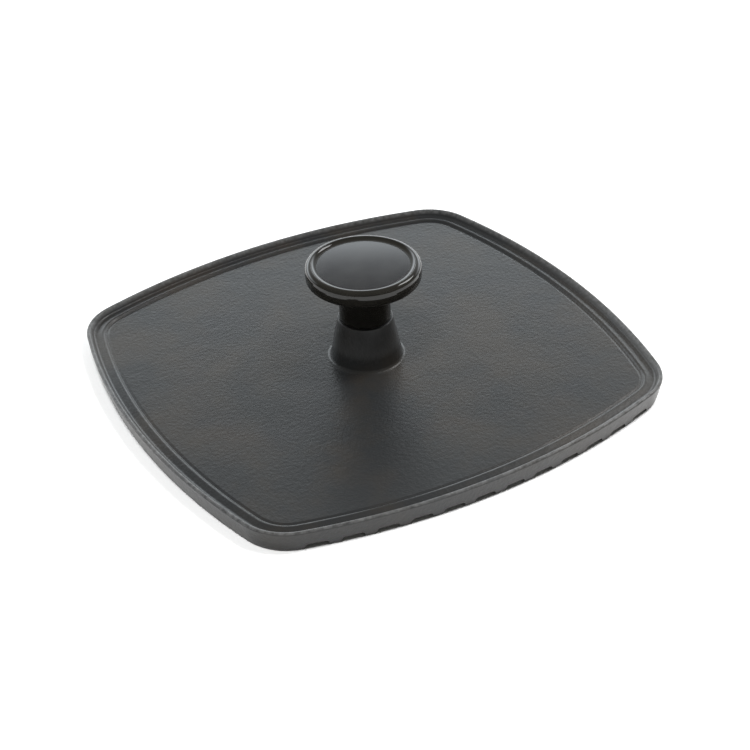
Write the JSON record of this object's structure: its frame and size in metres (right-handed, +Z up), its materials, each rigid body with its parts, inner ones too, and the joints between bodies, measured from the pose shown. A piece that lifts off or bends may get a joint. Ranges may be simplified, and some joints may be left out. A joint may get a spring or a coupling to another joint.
{
  "type": "grill press",
  "caption": "Square ribbed cast-iron press for bacon and sandwiches, with bowed sides, a raised rim, a central boss and a mushroom knob held by a screw from beneath.",
  "frame": {"origin": "middle of the ribbed face, on the plane of the rib crests, under the knob's axis", "axes": "+Z up along the knob's axis, the ribs run along Y and the grooves between them open in the two Y edges, +X to the right"},
  "size_m": [0.225, 0.2172, 0.0546],
  "materials": {
    "iron": "satin black enamel over a lightly textured casting",
    "phenolic": "polished black phenolic",
    "disc": "satin black disc",
    "screw_steel": "plain stainless, light turning marks",
    "washer_steel": "plain stainless, tumbled",
    "insert_brass": "turned and knurled brass"
  },
  "bodies": {
    "press": {"press_plate": "iron", "flat_washer": "washer_steel", "lock_washer": "washer_steel"},
    "screw": {"fixing_screw": "screw_steel"},
    "knob": {"knob_body": "phenolic", "knob_insert": "insert_brass", "knob_disc": "disc"}
  },
  "joints": [
    {"name": "screw_turn", "type": "hinge", "parent": "press", "child": "screw", "pos_m": [0, 0, 0], "axis": [0, 0, -1], "range_deg": [0, 3600]},
    {"name": "knob_lift", "type": "slide", "parent": "press", "child": "knob", "axis": [0, 0, 1], "range_m": [0, 0.01]}
  ],
  "couplings": [
    {"joint": "screw_turn", "follows": "knob_lift", "rad_per_m": 6283.2}
  ]
}
